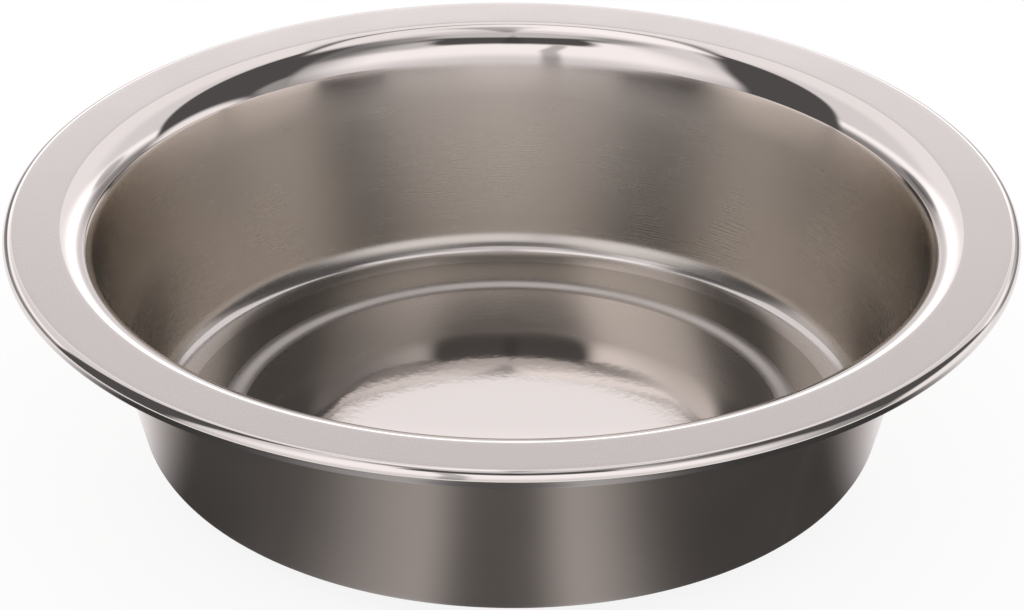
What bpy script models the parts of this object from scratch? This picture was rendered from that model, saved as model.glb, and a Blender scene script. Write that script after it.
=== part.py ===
"""Shallow cat bowl: a round drawn steel bowl with a dished floor, a flat brim and a curled rim, on a rubber ring.

The shell is one sheet of even thickness. Its middle line is followed from the axis outwards as a chain of
straight runs and bends, and the sheet's two faces lie half a thickness to either side of that line.
"""

import math

import bpy

# Driving dimensions, in metres. Heights are above the surface that the bowl stands on. The lip's and the
# corner's radii are on the face that shows from above, and the step's is on the inside of its two bends. The
# floor disc is dished: it is a round hollow out to the dish radius, steepest there, and levels out beyond it.
RIM_DIAMETER = 0.168
HEIGHT = 0.0443
SHEET = 0.0007

BEAD_DIAMETER = 0.0031
CURL_ANGLE = math.radians(292.5)
BRIM_INNER_RADIUS = 0.0752
LIP_RADIUS = 0.0063

CORNER_CENTRE_RADIUS = 0.0573
CORNER_RADIUS = 0.0043
LEDGE_HEIGHT = 0.0052

DISC_RADIUS = 0.0461
DISH_RADIUS = 0.036
DISH_ANGLE = math.radians(8.7)
STEP_DROP = 0.0006
STEP_ANGLE = math.radians(17)
STEP_RADIUS = 0.0005

RING_INNER_RADIUS = 0.0487
RING_OUTER_RADIUS = 0.0555
RING_FOOT_RADIUS = 0.0512
RING_FLANK_HEIGHT = 0.0031
RING_EDGE_RADIUS = 0.0005
BOND_GAP = 0.0003

# Sides round the axis, and segments in each bend
SIDES = 72
DISH_SEGMENTS = 6
DISH_EDGE_SEGMENTS = 3
STEP_SEGMENTS = 1
CORNER_SEGMENTS = 6
LIP_SEGMENTS = 7
CURL_SEGMENTS = 13
EDGE_SEGMENTS = 3


def clear_scene():
    for obj in list(bpy.data.objects):
        bpy.data.objects.remove(obj)


def material(name, colour, metallic, roughness):
    finish = bpy.data.materials.new(name)
    finish.use_nodes = True
    shader = finish.node_tree.nodes["Principled BSDF"]
    shader.inputs["Base Color"].default_value = (*colour, 1.0)
    shader.inputs["Metallic"].default_value = metallic
    shader.inputs["Roughness"].default_value = roughness
    return finish


def turned_object(name, profile, closed, finish):
    """A solid of revolution about Z. The profile is (radius, height) points that run down its outer side."""
    points = [(radius, 0.0, height) for radius, height in profile]
    edges = [(i, i + 1) for i in range(len(points) - 1)]
    if closed:
        edges.append((len(points) - 1, 0))
    mesh = bpy.data.meshes.new(name)
    mesh.from_pydata(points, edges, [])
    mesh.materials.append(finish)
    obj = bpy.data.objects.new(name, mesh)
    bpy.context.scene.collection.objects.link(obj)
    screw = obj.modifiers.new("turn", "SCREW")
    screw.axis = "Z"
    screw.angle = math.tau
    screw.steps = SIDES
    screw.render_steps = SIDES
    screw.use_merge_vertices = True
    screw.merge_threshold = 0.00001
    screw.use_smooth_shade = True
    return obj


def wall_line():
    """Slope from upright and length of the straight wall, the line that touches the corner and lip bends."""
    across = BRIM_INNER_RADIUS - CORNER_CENTRE_RADIUS
    up = (HEIGHT - LIP_RADIUS) - (LEDGE_HEIGHT + CORNER_RADIUS)
    bends = LIP_RADIUS + CORNER_RADIUS
    length = math.hypot(across, up)
    return math.acos(bends / length) - math.atan2(up, across), math.sqrt(length**2 - bends**2)


def run(stations, length):
    """Carries the sheet straight on, and adds the station at the far end."""
    radius, height, heading = stations[-1]
    stations.append((radius + length * math.cos(heading), height + length * math.sin(heading), heading))


def bend(stations, bend_radius, angle, segments):
    """Bends the sheet round a middle-line radius. A positive angle turns it up and a negative one down."""
    radius, height, heading = stations[-1]
    side = math.copysign(1.0, angle)
    centre_radius = radius - side * bend_radius * math.sin(heading)
    centre_height = height + side * bend_radius * math.cos(heading)
    for i in range(1, segments + 1):
        turned = heading + angle * i / segments
        stations.append((
            centre_radius + side * bend_radius * math.sin(turned),
            centre_height - side * bend_radius * math.cos(turned),
            turned,
        ))


def sheet_line():
    """Stations (radius, height, heading) along the middle of the sheet, from the axis to the end of the curl."""
    half = SHEET / 2
    taper, wall_length = wall_line()
    upright = math.pi / 2 - taper
    bead_radius = BEAD_DIAMETER / 2
    dish_bend = DISH_RADIUS / math.sin(DISH_ANGLE)
    dish_edge_bend = (DISC_RADIUS - DISH_RADIUS) / math.sin(DISH_ANGLE)
    dish_drop = (dish_bend + dish_edge_bend) * (1 - math.cos(DISH_ANGLE))
    step_bend = STEP_RADIUS + half
    step_slope = (STEP_DROP - 2 * step_bend * (1 - math.cos(STEP_ANGLE))) / math.sin(STEP_ANGLE)

    stations = [(0.0, LEDGE_HEIGHT - STEP_DROP - dish_drop - half, 0.0)]
    bend(stations, dish_bend, DISH_ANGLE, DISH_SEGMENTS)
    bend(stations, dish_edge_bend, -DISH_ANGLE, DISH_EDGE_SEGMENTS)
    bend(stations, step_bend, STEP_ANGLE, STEP_SEGMENTS)
    run(stations, step_slope)
    bend(stations, step_bend, -STEP_ANGLE, STEP_SEGMENTS)
    run(stations, CORNER_CENTRE_RADIUS - stations[-1][0])
    bend(stations, CORNER_RADIUS + half, upright, CORNER_SEGMENTS)
    run(stations, wall_length)
    bend(stations, LIP_RADIUS - half, -upright, LIP_SEGMENTS)
    run(stations, RIM_DIAMETER / 2 - bead_radius - stations[-1][0])
    bend(stations, bead_radius - half, -CURL_ANGLE, CURL_SEGMENTS)
    return stations


def sheet_face(stations, offset):
    """Points (radius, height) of the face that lies offset from the middle line, upwards if positive."""
    return [
        (max(radius - offset * math.sin(heading), 0.0), height + offset * math.cos(heading))
        for radius, height, heading in stations
    ]


def make_bowl_shell():
    """The drawn sheet: out along the face that shows from above, round the curl's end and back underneath."""
    stations = sheet_line()
    above = sheet_face(stations, SHEET / 2)
    below = sheet_face(stations, -SHEET / 2)
    steel = material("satin_steel", (0.72, 0.67, 0.65), metallic=1.0, roughness=0.28)
    return turned_object("bowl_shell", above + below[::-1], False, steel)


def rounded_corner(centre, start_angle, radius):
    """Points of a quarter circle, clockwise from start_angle."""
    angles = [start_angle - math.pi / 2 * i / EDGE_SEGMENTS for i in range(EDGE_SEGMENTS + 1)]
    return [(centre[0] + radius * math.cos(a), centre[1] + radius * math.sin(a)) for a in angles]


def make_non_slip_ring():
    """The rubber ring under the ledge: a broad bonded face, a flank that slopes in to a narrow foot, and a
    rounded inner edge."""
    top = LEDGE_HEIGHT - SHEET - BOND_GAP
    edge = RING_EDGE_RADIUS
    profile = [
        (RING_INNER_RADIUS, top),
        (RING_OUTER_RADIUS, top),
        (RING_OUTER_RADIUS, RING_FLANK_HEIGHT),
        (RING_FOOT_RADIUS, 0.0),
    ]
    profile += rounded_corner((RING_INNER_RADIUS + edge, edge), -math.pi / 2, edge)
    rubber = material("black_rubber", (0.02, 0.02, 0.021), metallic=0.0, roughness=0.75)
    return turned_object("non_slip_ring", profile, True, rubber)


clear_scene()
bowl = bpy.data.objects.new("cat_bowl", None)
bpy.context.scene.collection.objects.link(bowl)
for piece in (make_bowl_shell(), make_non_slip_ring()):
    piece.parent = bowl
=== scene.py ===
"""Looks of the shallow cat bowl: the drawn steel shell with its satin and polished finishes, and its rubber ring."""

import math

import bpy
import numpy as np
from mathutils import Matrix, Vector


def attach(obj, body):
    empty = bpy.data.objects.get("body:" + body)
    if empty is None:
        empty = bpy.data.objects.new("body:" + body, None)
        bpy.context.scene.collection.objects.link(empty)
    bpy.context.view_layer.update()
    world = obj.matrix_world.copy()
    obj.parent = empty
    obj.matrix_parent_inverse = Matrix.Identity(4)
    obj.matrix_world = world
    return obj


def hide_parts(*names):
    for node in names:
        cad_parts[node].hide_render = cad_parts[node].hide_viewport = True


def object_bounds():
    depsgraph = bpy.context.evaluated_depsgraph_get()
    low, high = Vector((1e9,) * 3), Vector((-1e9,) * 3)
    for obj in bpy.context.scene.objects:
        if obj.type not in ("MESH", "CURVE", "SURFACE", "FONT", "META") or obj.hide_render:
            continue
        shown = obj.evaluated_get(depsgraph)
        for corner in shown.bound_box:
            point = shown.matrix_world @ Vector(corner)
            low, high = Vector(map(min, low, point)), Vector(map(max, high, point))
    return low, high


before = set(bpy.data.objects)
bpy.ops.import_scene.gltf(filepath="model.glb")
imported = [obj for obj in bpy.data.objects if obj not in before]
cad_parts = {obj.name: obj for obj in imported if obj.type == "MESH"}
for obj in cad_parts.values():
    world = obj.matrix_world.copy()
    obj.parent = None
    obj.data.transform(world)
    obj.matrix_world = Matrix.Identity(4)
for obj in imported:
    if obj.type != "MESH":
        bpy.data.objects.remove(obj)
cad_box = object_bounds()

# Bowl shell: one round blank of stainless sheet, drawn in a press to floor, ledge, wall and brim, then curled at
# its edge to a bead. The brim, the walls and the base are left satin. The lip, the bead and the floor disc are
# polished, and the step, the ledge and the foot of the corner are buffed.

SHEET = 0.0007
BEAD_DIAMETER = 0.0031
CURL_ANGLE = math.radians(292.5)
BRIM_INNER_RADIUS = 0.0752
LIP_RADIUS = 0.0063
CORNER_CENTRE_RADIUS = 0.0573
CORNER_RADIUS = 0.0043
CORNER_EASE_RADIUS = 0.0139
CORNER_EASE_ANGLE = math.radians(9)
BUFFED_CORNER = 0.48
LEDGE_HEIGHT = 0.0052
DISC_RADIUS = 0.0461
DISH_RADIUS = 0.030
DISH_ANGLE = math.radians(6.0)
STEP_DROP = 0.0006
STEP_ANGLE = math.radians(17)
STEP_RADIUS = 0.0045
FADE_BELOW_LIP = 0.007
SATIN_OVER_LIP = math.radians(6)
SHELL_SIDES = 300
SHARP_EDGE = math.radians(50)

SATIN = (0.55, 0.508, 0.458)
POLISHED = (0.75, 0.70, 0.655)
BUFFED_STEP = (0.56, 0.52, 0.478)
SATIN_BRIM = (0.52, 0.484, 0.45)
SATIN_OUTSIDE = (0.62, 0.55, 0.485)
FADED_ROUGHNESS = 0.06

# Lines in the finish: which way they run, and their scales along and across
DISC_LINES = ("straight", 150, 7000)
BUFFED_LINES = ("round", 10, 5000)
SPUN_LINES = ("round", 8, 5000)
BASE_LINES = ("round", 8, 4000)
POLISHED_LINES = ("round", 8, 1500)
BRIM_LINES = ("round", 600, 2500)
DISC_RELIEF = 1e-7
FINE_RELIEF = 5e-7
SPUN_RELIEF = 1e-6
DISC_DENTS = 1.5e-6
CLOUD_SCALE = 60.0
RIPPLE_SCALE = 650.0
NOISE_LOW = 0.6
NOISE_HIGH = 1.4
QUARTER_TURN = 0.25
NEAR_AXIS = 0.0005


def stretch(start, length, turn, segments):
    """Stations (radius, height, heading, travel) of a stretch of sheet whose heading turns evenly by turn over
    its length. A turning stretch is an arc of radius length / turn, and one that doesn't turn is a line."""
    radius, height, heading, travel = start
    along = length * np.arange(1, segments + 1) / segments
    headings = heading + turn * along / length
    if turn:
        bend = length / turn
        radii = radius + bend * (np.sin(headings) - math.sin(heading))
        heights = height - bend * (np.cos(headings) - math.cos(heading))
    else:
        radii = radius + along * math.cos(heading)
        heights = height + along * math.sin(heading)
    return np.stack([radii, heights, headings, travel + along], axis=1)


def shell_line(rim_radius, height):
    """Stations along the middle of the sheet from the axis to the end of the curl, and the finish of the two
    faces of each step between stations, as (above, below). The wall is the line that touches the corner's and
    the lip's circles. A wider bend eases the ledge into the corner, which sets the ledge lower by ease_rise."""
    half = SHEET / 2
    across = BRIM_INNER_RADIUS - CORNER_CENTRE_RADIUS
    up = (height - LIP_RADIUS) - (LEDGE_HEIGHT + CORNER_RADIUS)
    touching = LIP_RADIUS + CORNER_RADIUS
    upright = math.pi / 2 - math.acos(touching / math.hypot(across, up)) + math.atan2(up, across)
    wall = math.sqrt(across**2 + up**2 - touching**2)

    dish_bend = DISH_RADIUS / math.sin(DISH_ANGLE)
    dish_edge_bend = (DISC_RADIUS - DISH_RADIUS) / math.sin(DISH_ANGLE)
    dish_drop = (dish_bend + dish_edge_bend) * (1 - math.cos(DISH_ANGLE))
    step_bend = STEP_RADIUS + half
    step_arc = step_bend * STEP_ANGLE
    step_slope = (STEP_DROP - 2 * step_bend * (1 - math.cos(STEP_ANGLE))) / math.sin(STEP_ANGLE)
    step_width = 2 * step_bend * math.sin(STEP_ANGLE) + step_slope * math.cos(STEP_ANGLE)
    corner_bend = CORNER_RADIUS + half
    ease_bend = CORNER_EASE_RADIUS + half
    ease_reach = (ease_bend - corner_bend) * math.sin(CORNER_EASE_ANGLE)
    ease_rise = (ease_bend - corner_bend) * (1 - math.cos(CORNER_EASE_ANGLE))
    buffed_turn = BUFFED_CORNER * upright - CORNER_EASE_ANGLE
    satin_turn = (1 - BUFFED_CORNER) * upright
    lip_bend = LIP_RADIUS - half
    bead_radius = BEAD_DIAMETER / 2
    curl_arc = (bead_radius - half) * CURL_ANGLE

    # Length, turn, segments, finish above and finish below of each stretch
    stretches = (
        (dish_bend * DISH_ANGLE, DISH_ANGLE, 26, "disc", "base"),
        (dish_edge_bend * DISH_ANGLE, -DISH_ANGLE, 12, "disc", "base"),
        (step_arc, STEP_ANGLE, 6, "step", "base"),
        (step_slope, 0, 2, "step", "base"),
        (step_arc, -STEP_ANGLE, 6, "step", "base"),
        (CORNER_CENTRE_RADIUS - DISC_RADIUS - step_width - ease_reach, 0, 6, "ledge", "base"),
        (ease_bend * CORNER_EASE_ANGLE, CORNER_EASE_ANGLE, 5, "bend", "base"),
        (corner_bend * buffed_turn, buffed_turn, 8, "bend", "outside"),
        (corner_bend * satin_turn, satin_turn, 9, "wall", "outside"),
        (wall - FADE_BELOW_LIP, 0, 16, "wall", "outside"),
        (FADE_BELOW_LIP, 0, 4, "fade", "outside"),
        (lip_bend * (upright - SATIN_OVER_LIP), SATIN_OVER_LIP - upright, 24, "lip", "outside"),
        (lip_bend * SATIN_OVER_LIP, -SATIN_OVER_LIP, 3, "brim", "outside"),
        (rim_radius - bead_radius - BRIM_INNER_RADIUS, 0, 6, "brim", "outside"),
        (curl_arc, -CURL_ANGLE, 30, "bead", "bead"),
    )
    line = [np.array([[0.0, LEDGE_HEIGHT - ease_rise - STEP_DROP - dish_drop - half, 0.0, 0.0]])]
    finishes = []
    for length, turn, segments, above, below in stretches:
        line.append(stretch(line[-1][-1], length, turn, segments))
        finishes += [(above, below)] * segments
    return np.concatenate(line), finishes


def sheet_face(line, offset):
    """Points (radius, height) of the face that lies offset from the middle line, square to its heading."""
    radius, height, heading = line[:, 0], line[:, 1], line[:, 2]
    return np.stack([np.maximum(radius - offset * np.sin(heading), 0.0), height + offset * np.cos(heading)], axis=1)


def turned_mesh(name, profile, marks, finish_numbers, sides):
    """A profile from the axis round to the axis again, carried round Z: ring i, side j is at radius r_i and angle
    2 pi j / sides. The first and last points are single poles. Each array of marks, one value for each point of
    the profile, goes on as an attribute of the points."""
    angles = 2 * np.pi * np.arange(sides) / sides
    rings = profile[1:-1]
    circle = np.stack([np.cos(angles), np.sin(angles)], axis=1)
    flat = rings[:, None, :1] * circle[None]
    tall = np.broadcast_to(rings[:, None, 1:], (len(rings), sides, 1))
    points = np.concatenate([flat, tall], axis=2).reshape(-1, 3)
    poles = np.array([[0.0, 0.0, profile[0, 1]], [0.0, 0.0, profile[-1, 1]]])
    points = np.concatenate([points, poles])
    first, last = len(points) - 2, len(points) - 1

    side = np.arange(sides)
    after = np.roll(side, -1)
    low = np.arange(len(rings) - 1)[:, None] * sides
    quads = np.stack([low + side, low + sides + side, low + sides + after, low + after], axis=2).reshape(-1, 4)
    end = (len(rings) - 1) * sides
    top_fan = np.stack([np.full(sides, first), side, after], axis=1)
    bottom_fan = np.stack([end + side, np.full(sides, last), end + after], axis=1)

    mesh = bpy.data.meshes.new(name)
    mesh.from_pydata(points, [], top_fan.tolist() + quads.tolist() + bottom_fan.tolist())
    mesh.polygons.foreach_set("material_index", np.repeat(finish_numbers, sides).astype(np.int32))
    for mark, values in marks.items():
        spread = np.concatenate([np.repeat(values[1:-1], sides), values[[0, -1]]])
        mesh.attributes.new(mark, "FLOAT", "POINT").data.foreach_set("value", spread.astype(np.float32))
    mesh.shade_smooth()
    mesh.set_sharp_from_angle(angle=SHARP_EDGE)
    mesh.update()
    return mesh


def add_node(tree, kind, **values):
    """Adds a shader node. Values named like its inputs go to those, and the others are the node's own settings."""
    node = tree.nodes.new(kind)
    for key, value in values.items():
        label = key.replace("_", " ").title()
        if label in node.inputs:
            node.inputs[label].default_value = value
        else:
            setattr(node, key, value)
    return node


def math_node(tree, operation, first, second=None):
    """Output of a node that applies the operation to one or two values, each a number or another node's output."""
    node = tree.nodes.new("ShaderNodeMath")
    node.operation = operation
    for socket, value in zip(node.inputs, (first, second)):
        if isinstance(value, bpy.types.NodeSocket):
            tree.links.new(value, socket)
        elif value is not None:
            socket.default_value = value
    return node.outputs[0]


def turned_coordinates(tree, round_scale, travel_scale):
    """A vector that closes on itself round the bowl: the unit direction from the axis times round_scale, and the
    travel along the profile times travel_scale. Lines follow the axis's circles where travel_scale is larger."""
    place = tree.nodes.new("ShaderNodeTexCoord").outputs["Object"]
    split = tree.nodes.new("ShaderNodeSeparateXYZ")
    tree.links.new(place, split.inputs[0])
    reach = math_node(
        tree,
        "SQRT",
        math_node(
            tree,
            "ADD",
            math_node(tree, "MULTIPLY", split.outputs[0], split.outputs[0]),
            math_node(tree, "MULTIPLY", split.outputs[1], split.outputs[1]),
        ),
    )
    reach = math_node(tree, "MAXIMUM", reach, NEAR_AXIS)
    travel = tree.nodes.new("ShaderNodeAttribute")
    travel.attribute_name = "travel"
    joined = tree.nodes.new("ShaderNodeCombineXYZ")
    for axis in (0, 1):
        unit = math_node(tree, "DIVIDE", split.outputs[axis], reach)
        tree.links.new(math_node(tree, "MULTIPLY", unit, round_scale), joined.inputs[axis])
    tree.links.new(math_node(tree, "MULTIPLY", travel.outputs["Fac"], travel_scale), joined.inputs[2])
    return joined.outputs[0]


def straight_coordinates(tree, along_x, across):
    """A vector for lines that run straight along X: X times along_x, and Y times across."""
    place = tree.nodes.new("ShaderNodeTexCoord").outputs["Object"]
    scaled = tree.nodes.new("ShaderNodeVectorMath")
    scaled.operation = "MULTIPLY"
    tree.links.new(place, scaled.inputs[0])
    scaled.inputs[1].default_value = (along_x, across, 0.0)
    return scaled.outputs[0]


def blend_node(tree, data_type, first, second, part):
    """Mixes two values of the data type FLOAT or RGBA: first where part is 0, second where it is 1."""
    node = tree.nodes.new("ShaderNodeMix")
    node.data_type = data_type
    sockets = [socket for socket in node.inputs if socket.enabled]
    for socket, value in zip(sockets, (part, first, second)):
        if isinstance(value, bpy.types.NodeSocket):
            tree.links.new(value, socket)
        else:
            socket.default_value = value
    return next(socket for socket in node.outputs if socket.enabled)


def steel(name, colour, roughness, spread, lines_along, relief, stretch_out=0.0, dents=0.0, buffed=None):
    """Bare stainless steel with fine lines. The lines vary the roughness by spread to either side and stand
    relief metres high. They run round the bowl, or straight along X, as lines_along says with its two scales.
    A second, softer noise clouds the roughness over centimetres. Lines that run round the bowl draw highlights
    out across them by stretch_out. Dents are the height of a millimetre ripple. A buffed steel goes over to the
    colour and the roughness in buffed where the attribute "buff" is 1."""
    finish = bpy.data.materials.new(name)
    finish.use_nodes = True
    tree = finish.node_tree
    shader = tree.nodes["Principled BSDF"]
    shader.inputs["Base Color"].default_value = (*colour, 1.0)
    shader.inputs["Metallic"].default_value = 1.0
    if stretch_out:
        shader.inputs["Anisotropic"].default_value = stretch_out
        shader.inputs["Anisotropic Rotation"].default_value = QUARTER_TURN
        round_axis = add_node(tree, "ShaderNodeTangent", direction_type="RADIAL", axis="Z")
        tree.links.new(round_axis.outputs[0], shader.inputs["Tangent"])

    direction, first_scale, second_scale = lines_along
    coordinates = turned_coordinates if direction == "round" else straight_coordinates
    lines = add_node(tree, "ShaderNodeTexNoise", scale=1.0, detail=3.0, roughness=0.6)
    tree.links.new(coordinates(tree, first_scale, second_scale), lines.inputs["Vector"])
    place = tree.nodes.new("ShaderNodeTexCoord").outputs["Object"]
    clouds = add_node(tree, "ShaderNodeTexNoise", scale=CLOUD_SCALE, detail=2.0)
    tree.links.new(place, clouds.inputs["Vector"])
    varied = add_node(
        tree,
        "ShaderNodeMapRange",
        clamp=True,
        from_min=NOISE_LOW,
        from_max=NOISE_HIGH,
        to_min=roughness - spread,
        to_max=roughness + spread,
    )
    tree.links.new(math_node(tree, "ADD", lines.outputs["Fac"], clouds.outputs["Fac"]), varied.inputs["Value"])
    shine = varied.outputs["Result"]
    if buffed:
        buffed_colour, buffed_roughness = buffed
        buff = tree.nodes.new("ShaderNodeAttribute")
        buff.attribute_name = "buff"
        shine = blend_node(tree, "FLOAT", shine, buffed_roughness, buff.outputs["Fac"])
        tint = blend_node(tree, "RGBA", (*colour, 1.0), (*buffed_colour, 1.0), buff.outputs["Fac"])
        tree.links.new(tint, shader.inputs["Base Color"])
    tree.links.new(shine, shader.inputs["Roughness"])

    height = math_node(tree, "MULTIPLY", lines.outputs["Fac"], relief)
    if dents:
        ripple = add_node(tree, "ShaderNodeTexNoise", scale=RIPPLE_SCALE, detail=2.0)
        tree.links.new(place, ripple.inputs["Vector"])
        height = math_node(tree, "ADD", height, math_node(tree, "MULTIPLY", ripple.outputs["Fac"], dents))
    bump = add_node(tree, "ShaderNodeBump", strength=1.0, distance=1.0)
    tree.links.new(height, bump.inputs["Height"])
    tree.links.new(bump.outputs["Normal"], shader.inputs["Normal"])
    return finish


line, step_finishes = shell_line(cad_box[1].x, cad_box[1].z)
shell_profile = np.concatenate([sheet_face(line, SHEET / 2), sheet_face(line, -SHEET / 2)[::-1]])
face_finishes = [pair[0] for pair in step_finishes]
fade_start = line[face_finishes.index("fade"), 3]
face_buff = np.clip((line[:, 3] - fade_start) / FADE_BELOW_LIP, 0, 1)
shell_marks = {
    "travel": np.concatenate([line[:, 3], line[::-1, 3]]),
    "buff": np.concatenate([face_buff, 0 * face_buff]),
}
# Name, colour, roughness, spread of the roughness, lines and relief of each finish
FINISHES = {
    "disc": steel("polished_disc", POLISHED, 0.025, 0.008, DISC_LINES, DISC_RELIEF, dents=DISC_DENTS),
    "step": steel("buffed_step", BUFFED_STEP, 0.30, 0.03, BUFFED_LINES, FINE_RELIEF),
    "bend": steel("buffed_bend", POLISHED, 0.13, 0.03, BUFFED_LINES, FINE_RELIEF),
    "ledge": steel("buffed_ledge", SATIN, 0.18, 0.03, BUFFED_LINES, SPUN_RELIEF, stretch_out=0.3),
    "wall": steel("satin_wall", SATIN, 0.26, 0.03, SPUN_LINES, SPUN_RELIEF, stretch_out=0.3),
    "fade": steel(
        "fading_polish",
        SATIN,
        0.26,
        0.03,
        SPUN_LINES,
        SPUN_RELIEF,
        stretch_out=0.3,
        buffed=(POLISHED, FADED_ROUGHNESS),
    ),
    "lip": steel("polished_lip", POLISHED, 0.03, 0.01, POLISHED_LINES, 0.0),
    "brim": steel("satin_brim", SATIN_BRIM, 0.27, 0.04, BRIM_LINES, FINE_RELIEF),
    "bead": steel("polished_bead", POLISHED, 0.06, 0.02, POLISHED_LINES, 0.0),
    "outside": steel("satin_outside", SATIN_OUTSIDE, 0.20, 0.04, SPUN_LINES, SPUN_RELIEF, stretch_out=0.5),
    "base": steel("satin_base", SATIN, 0.30, 0.05, BASE_LINES, SPUN_RELIEF, stretch_out=0.6),
}
finish_order = list(FINISHES)
above = [finish_order.index(pair[0]) for pair in step_finishes]
below = [finish_order.index(pair[1]) for pair in step_finishes][::-1]
step_numbers = np.array(above + [finish_order.index("bead")] + below)
bowl_shell = bpy.data.objects.new(
    "steel_shell", turned_mesh("steel_shell", shell_profile, shell_marks, step_numbers, SHELL_SIDES)
)
for finish in FINISHES.values():
    bowl_shell.data.materials.append(finish)
bpy.context.scene.collection.objects.link(bowl_shell)
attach(bowl_shell, "root")
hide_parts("bowl_shell")

# Non-slip ring: a ring of black rubber, moulded with a flank that slopes in to a narrow foot, and bonded to the
# sheet under the ledge. It keeps its solid's shape.

RUBBER = (0.02, 0.02, 0.021)
RUBBER_SMOOTHEST = 0.65
RUBBER_ROUGHEST = 0.85
GRAIN_SCALE = 2500.0
GRAIN_STRENGTH = 0.4
GRAIN_HEIGHT = 0.00002

rubber = bpy.data.materials.new("matt_rubber")
rubber.use_nodes = True
rubber_tree = rubber.node_tree
rubber_shader = rubber_tree.nodes["Principled BSDF"]
rubber_shader.inputs["Base Color"].default_value = (*RUBBER, 1.0)
grain = add_node(rubber_tree, "ShaderNodeTexNoise", scale=GRAIN_SCALE, detail=2.0)
rubber_tree.links.new(rubber_tree.nodes.new("ShaderNodeTexCoord").outputs["Object"], grain.inputs["Vector"])
grain_range = add_node(rubber_tree, "ShaderNodeMapRange", to_min=RUBBER_SMOOTHEST, to_max=RUBBER_ROUGHEST)
rubber_tree.links.new(grain.outputs["Fac"], grain_range.inputs["Value"])
rubber_tree.links.new(grain_range.outputs["Result"], rubber_shader.inputs["Roughness"])
grain_bump = add_node(rubber_tree, "ShaderNodeBump", strength=GRAIN_STRENGTH, distance=GRAIN_HEIGHT)
rubber_tree.links.new(grain.outputs["Fac"], grain_bump.inputs["Height"])
rubber_tree.links.new(grain_bump.outputs["Normal"], rubber_shader.inputs["Normal"])
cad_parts["non_slip_ring"].data.materials[0] = rubber

# Studio: a white floor that keeps a soft shadow, a white surround, and a dome of soft panels with dark gaps
# between them, which only the steel mirrors. A card on the floor, which only the steel mirrors too, carries
# painted shade in front of the bowl, where the outer wall mirrors it, and two streaks of painted light.

FLOOR_SIZE = 6.0
FLOOR_GLOW = 1.02
FLOOR_CHALK = (0.9, 0.9, 0.9, 1)
FLOOR_SHADOW = 0.14
DOME_RADIUS = 0.6
DOME_FOOT = -8
DOME_SIDES = 360
DOME_RINGS = 100
CARD_INNER_RADIUS = 0.045
CARD_OUTER_RADIUS = 0.25
CARD_RINGS = 12
CARD_HEIGHT = 0.0002
PANEL_COLOUR = (0.975, 0.955, 1.0, 1.0)

# Brightness, where the floor is about 1
BACK_PANEL = 1.08
FRONT_PANEL = 1.25
TOP_LAMP = 1.3
OVERHEAD_LAMP = 0.7
LOW_LAMP = 1.15
LOW_REFLECTOR = 0.4
GAP = 0.10
CEILING = 0.10
# The card's painted shade in front, its lighter middle and its streaks of painted light
CARD_PAINTED_SHADE = 0.05
CARD_PAINTED_MIDDLE = 0.05
CARD_PAINTED_STREAK = 0.36

# Places in degrees: an arch's half-width and top, an oval's centre and size as (azimuth, elevation), how an
# oval's edge fades as shares of its size, and the azimuth of a streak of painted light on the card and its spread
# to the left and to the right
BACK_ARCH = (76, 62)
FRONT_ARCH = (114, 69.5)
LEFT_SCREEN = ((-36, 12), (15, 6))
RIGHT_SCREEN = ((37, 18), (12, 6))
SCREEN_EDGE = (0.5, 1.0)
LOW_LAMP_OVAL = ((80, 0), (22, 20))
LOW_REFLECTOR_OVAL = ((112, 12), (12, 22))
LOW_EDGE = (0.6, 1.1)
STAND_AZIMUTH = -169
PAINTED_STREAKS = ((-16, 17, 6), (12, 6, 11))


def stage_object(name, mesh, material):
    """Puts a mesh of the studio in the scene, with its material."""
    mesh.materials.append(material)
    card = bpy.data.objects.new(name, mesh)
    bpy.context.scene.collection.objects.link(card)
    return card


def mirrored_only(card):
    """Hides a card from the camera, and keeps it from lighting or shading anything matt."""
    card.visible_camera = False
    card.visible_diffuse = False
    card.visible_shadow = False
    card.visible_transmission = False


def glowing_paint(name):
    """Paint that glows as brightly as the attribute "glow" of its points says."""
    paint = bpy.data.materials.new(name)
    paint.use_nodes = True
    paint.cycles.emission_sampling = "NONE"
    tree = paint.node_tree
    tree.nodes.clear()
    out = tree.nodes.new("ShaderNodeOutputMaterial")
    light = add_node(tree, "ShaderNodeEmission", color=PANEL_COLOUR)
    level = tree.nodes.new("ShaderNodeAttribute")
    level.attribute_name = "glow"
    tree.links.new(level.outputs["Fac"], light.inputs["Strength"])
    tree.links.new(light.outputs[0], out.inputs[0])
    return paint


def glowing_mesh(name, x, y, z, brightness):
    """A grid of points, ring by ring, with a quad between each four neighbours: point i of ring j is number
    j times the ring's points, plus i. The brightness of each point goes on as the attribute "glow"."""
    rings, columns = x.shape
    corner = (np.arange(rings - 1)[:, None] * columns + np.arange(columns - 1)[None, :]).reshape(-1, 1)
    quads = corner + np.array([0, 1, columns + 1, columns])
    mesh = bpy.data.meshes.new(name)
    mesh.from_pydata(np.stack([x, y, z], axis=2).reshape(-1, 3), [], quads.tolist())
    glow = mesh.attributes.new("glow", "FLOAT", "POINT")
    glow.data.foreach_set("value", brightness.ravel().astype(np.float32))
    return mesh


def smooth(value, low, high):
    """0 below low, 1 above high, and an even S between."""
    part = np.clip((value - low) / (high - low), 0, 1)
    return part * part * (3 - 2 * part)


def arch(aside, height, half_width, top, power):
    """1 on an arch, less inside it and more outside: the sum of the two shares of its size, each to a power."""
    return (aside / half_width) ** power + (height / top) ** power


def oval(azimuth, elevation, place, edge):
    """1 inside an oval and 0 outside it: the distance from its centre in shares of its size, faded over its edge."""
    centre, size = place
    return 1 - smooth(np.hypot((azimuth - centre[0]) / size[0], (elevation - centre[1]) / size[1]), *edge)


def laid_over(glow, part, level):
    """The level where part is 1, the glow behind it where part is 0, and their mix between."""
    return glow + part * (level - glow)


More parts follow.
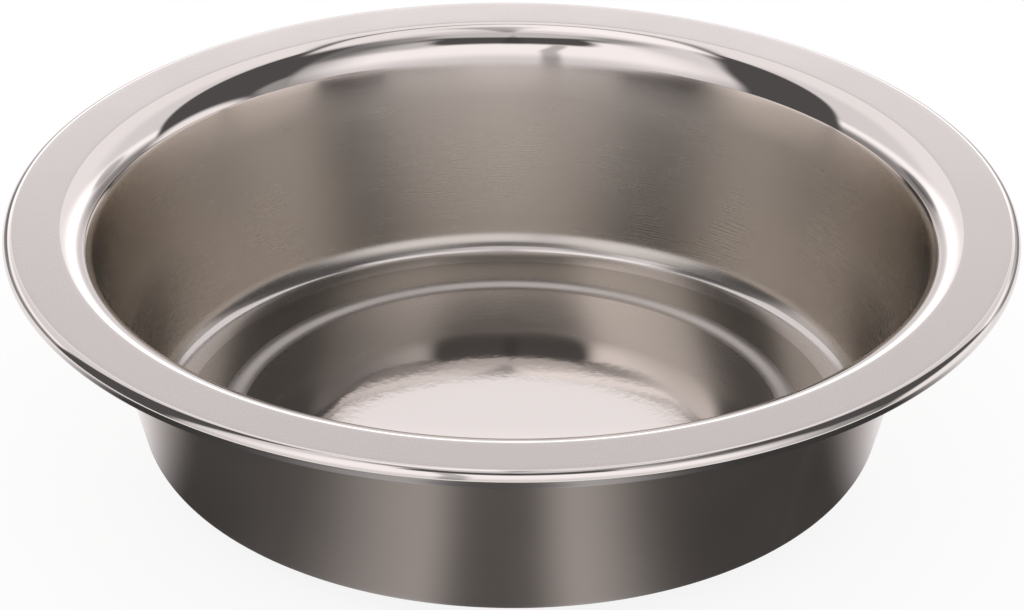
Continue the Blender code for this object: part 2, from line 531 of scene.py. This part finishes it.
def dome_glow(x, y, z):
    """Brightness of the studio in the direction (x, y, z) from the bowl, as panels laid over each other from the
    azimuth and the elevation in degrees. Azimuth 0 is at the back and grows to the right."""
    elevation = np.degrees(np.arcsin(np.clip(z, -1, 1)))
    azimuth = np.degrees(np.arctan2(x, y))
    aside = np.abs(azimuth)
    height = np.maximum(elevation, 0)
    on_right = smooth(azimuth, -2, 2)
    glow = np.full_like(x, GAP)

    # The back panel fills an arch under a V-shaped seam. It has a bright strip low down and dims to its sides.
    inner_arch = arch(aside, height, BACK_ARCH[0] - 12 * on_right, BACK_ARCH[1], 2.4)
    seam_foot = 44 + 20 * (1 - np.exp(-aside / 15)) + 0.4 * np.sin(azimuth * 2.9) * np.cos(azimuth * 1.3)
    bright_strip = smooth(elevation, 10, 17) * (1 - smooth(elevation, 19, 28))
    back_level = BACK_PANEL * (1 + 0.7 * bright_strip - 0.25 * (1 - smooth(elevation, 6, 13)))
    back_level = back_level * (1 - (0.62 - 0.45 * smooth(elevation, 6, 26)) * smooth(aside, 14, 36))
    back = (1 - smooth(inner_arch, 0.95, 1.05)) * (1 - smooth(elevation, seam_foot - 0.5, seam_foot + 0.5))
    glow = laid_over(glow, back, back_level)

    # Two low screens darken it.
    left_screen = oval(azimuth, elevation, LEFT_SCREEN, SCREEN_EDGE)
    right_screen = oval(azimuth, elevation, RIGHT_SCREEN, SCREEN_EDGE)
    glow = glow * (1 - 0.6 * left_screen) * (1 - 0.5 * right_screen)

    # The front panel begins outside a wider arch. It is dimmer low down and towards its ends, more so on the right.
    outer_arch = arch(aside, height, FRONT_ARCH[0], FRONT_ARCH[1] + 5 * on_right, 4)
    front = smooth(outer_arch, 0.80, 1.0) * smooth(aside, 30, 52)
    edge = smooth(aside, 102, 138)
    front_level = FRONT_PANEL * (0.7 + 0.3 * smooth(elevation, 0, 30))
    front_level = front_level * (0.72 - 0.4 * on_right + edge * (0.28 + 0.4 * on_right))
    front_level = front_level * (1 - 0.45 * on_right * smooth(elevation, 44, 58) * (1 - smooth(aside, 140, 160)))
    glow = laid_over(glow, front, front_level)

    # A lamp and a reflector stand low on the right, and only brighten what is behind them.
    low_lamp = oval(azimuth, elevation, LOW_LAMP_OVAL, LOW_EDGE)
    glow = laid_over(glow, low_lamp, np.maximum(LOW_LAMP, glow))
    low_reflector = oval(azimuth, elevation, LOW_REFLECTOR_OVAL, LOW_EDGE)
    glow = laid_over(glow, low_reflector, np.maximum(LOW_REFLECTOR, glow))

    # The ceiling is dark, and a little lighter at the sides.
    ceiling_foot = 69 - 17 * smooth(aside, 130, 155)
    ceiling = smooth(elevation, ceiling_foot, ceiling_foot + 9)
    ceiling_level = CEILING + 0.3 * smooth(aside, 24, 46) * (1 - smooth(aside, 100, 130))
    glow = laid_over(glow, ceiling, ceiling_level)

    # The lamp over the back panel's seam has a dim slot, and another lamp hangs straight overhead.
    lamp = smooth(elevation, seam_foot + 1.0, seam_foot + 2.2) * (1 - smooth(aside, 30, 60))
    slot = (1 - smooth(np.abs(azimuth - 2), 1.5, 5)) * smooth(elevation, 54, 62)
    lamp_level = TOP_LAMP * (1 - 0.25 * smooth(elevation, 66, 76)) * (1 - 0.15 * on_right) * (1 - 0.5 * slot)
    glow = laid_over(glow, lamp, lamp_level)
    overhead = smooth(elevation, 78, 83)
    glow = laid_over(glow, overhead, OVERHEAD_LAMP)

    # A leaning stand in front and the boom on it are darker.
    stand_turn = (azimuth - STAND_AZIMUTH - 6.5 * smooth(elevation, 30, 60) + 180) % 360 - 180
    stand = (1 - smooth(np.abs(stand_turn), 1.5, 4.0)) * (1 - smooth(elevation, 52, 58))
    boom = (1 - smooth(180 - aside, 2.5, 6.0)) * smooth(elevation, 52, 58)
    return glow * (1 - 0.5 * stand) * (1 - 0.25 * boom)


def painted_card_shade_and_light(x, y):
    """Brightness of the card on the floor round the bowl: painted shade in front, with two lighter streaks of
    painted light that fan out from the bowl, each a bell curve of azimuth that is sharper on one side, and white at
    the sides."""
    from_front = np.degrees(np.arctan2(x, -y))
    # Painted shade in front, a little lighter in the middle, with two streaks of painted light laid on it
    dark = 1 - smooth(np.abs(from_front), 66, 96)
    level = CARD_PAINTED_SHADE + CARD_PAINTED_MIDDLE * np.exp(-((from_front / 22) ** 2))
    for azimuth, left_spread, right_spread in PAINTED_STREAKS:
        off = from_front - azimuth
        level = level + CARD_PAINTED_STREAK * np.exp(-((off / np.where(off < 0, left_spread, right_spread)) ** 2))
    return laid_over(1.0, dark, level)


elevations = np.radians(np.linspace(DOME_FOOT, 90, DOME_RINGS))[:, None]
azimuths = 2 * np.pi * np.arange(DOME_SIDES + 1)[None, :] / DOME_SIDES
dome_x = np.cos(elevations) * np.sin(azimuths)
dome_y = np.cos(elevations) * np.cos(azimuths)
dome_z = np.sin(elevations) + 0 * azimuths
dome_mesh = glowing_mesh(
    "studio_dome",
    DOME_RADIUS * dome_x,
    DOME_RADIUS * dome_y,
    DOME_RADIUS * dome_z + cad_box[1].z,
    dome_glow(dome_x, dome_y, dome_z),
)
mirrored_only(stage_object("studio_dome", dome_mesh, glowing_paint("panel_light")))

floor_paint = bpy.data.materials.new("white_floor")
floor_paint.use_nodes = True
floor_tree = floor_paint.node_tree
floor_tree.nodes.clear()
floor_out = floor_tree.nodes.new("ShaderNodeOutputMaterial")
lit = add_node(floor_tree, "ShaderNodeEmission", color=(1, 1, 1, 1), strength=FLOOR_GLOW)
chalk = add_node(floor_tree, "ShaderNodeBsdfDiffuse", color=FLOOR_CHALK)
blend = add_node(floor_tree, "ShaderNodeMixShader")
blend.inputs[0].default_value = FLOOR_SHADOW
floor_tree.links.new(lit.outputs[0], blend.inputs[1])
floor_tree.links.new(chalk.outputs[0], blend.inputs[2])
floor_tree.links.new(blend.outputs[0], floor_out.inputs[0])
half_floor = FLOOR_SIZE / 2
floor_corners = [(half_floor * x, half_floor * y, 0) for x, y in ((-1, -1), (1, -1), (1, 1), (-1, 1))]
floor_mesh = bpy.data.meshes.new("floor")
floor_mesh.from_pydata(floor_corners, [], [(0, 1, 2, 3)])
stage_object("floor", floor_mesh, floor_paint)

# The card's dark front is painted shade and its two lighter streaks are painted light, which only the steel mirrors.
card_radii = np.linspace(CARD_INNER_RADIUS, CARD_OUTER_RADIUS, CARD_RINGS)[:, None]
card_x = card_radii * np.sin(azimuths)
card_y = card_radii * np.cos(azimuths)
card_mesh = glowing_mesh("painted_shade_card", card_x, card_y, 0 * card_x + CARD_HEIGHT, painted_card_shade_and_light(card_x, card_y))
mirrored_only(stage_object("painted_shade_card", card_mesh, glowing_paint("painted_shade_card_paint")))

world = bpy.data.worlds.new("surround")
world.use_nodes = True
bpy.context.scene.world = world
backdrop = world.node_tree.nodes["Background"]
backdrop.inputs["Color"].default_value = (1.0, 1.0, 1.0, 1.0)
backdrop.inputs["Strength"].default_value = 1.0

# Camera: at the photograph's angle, fitted to the outlines of the rim, the lip and the base.

CAMERA_ABOVE_BRIM = 0.32057
CAMERA_BACK = 0.61389
CAMERA_TURN = (61.155, -0.347, 0.179)
CAMERA_LENS = 147.011
CAMERA_SENSOR = 36.0

camera = bpy.data.objects.new("camera", bpy.data.cameras.new("camera"))
camera.location = (0.0, -CAMERA_BACK, cad_box[1].z + CAMERA_ABOVE_BRIM)
camera.rotation_euler = [math.radians(angle) for angle in CAMERA_TURN]
camera.data.lens = CAMERA_LENS
camera.data.sensor_width = CAMERA_SENSOR
bpy.context.scene.collection.objects.link(camera)
bpy.context.scene.camera = camera
bpy.context.scene.view_settings.view_transform = "Standard"
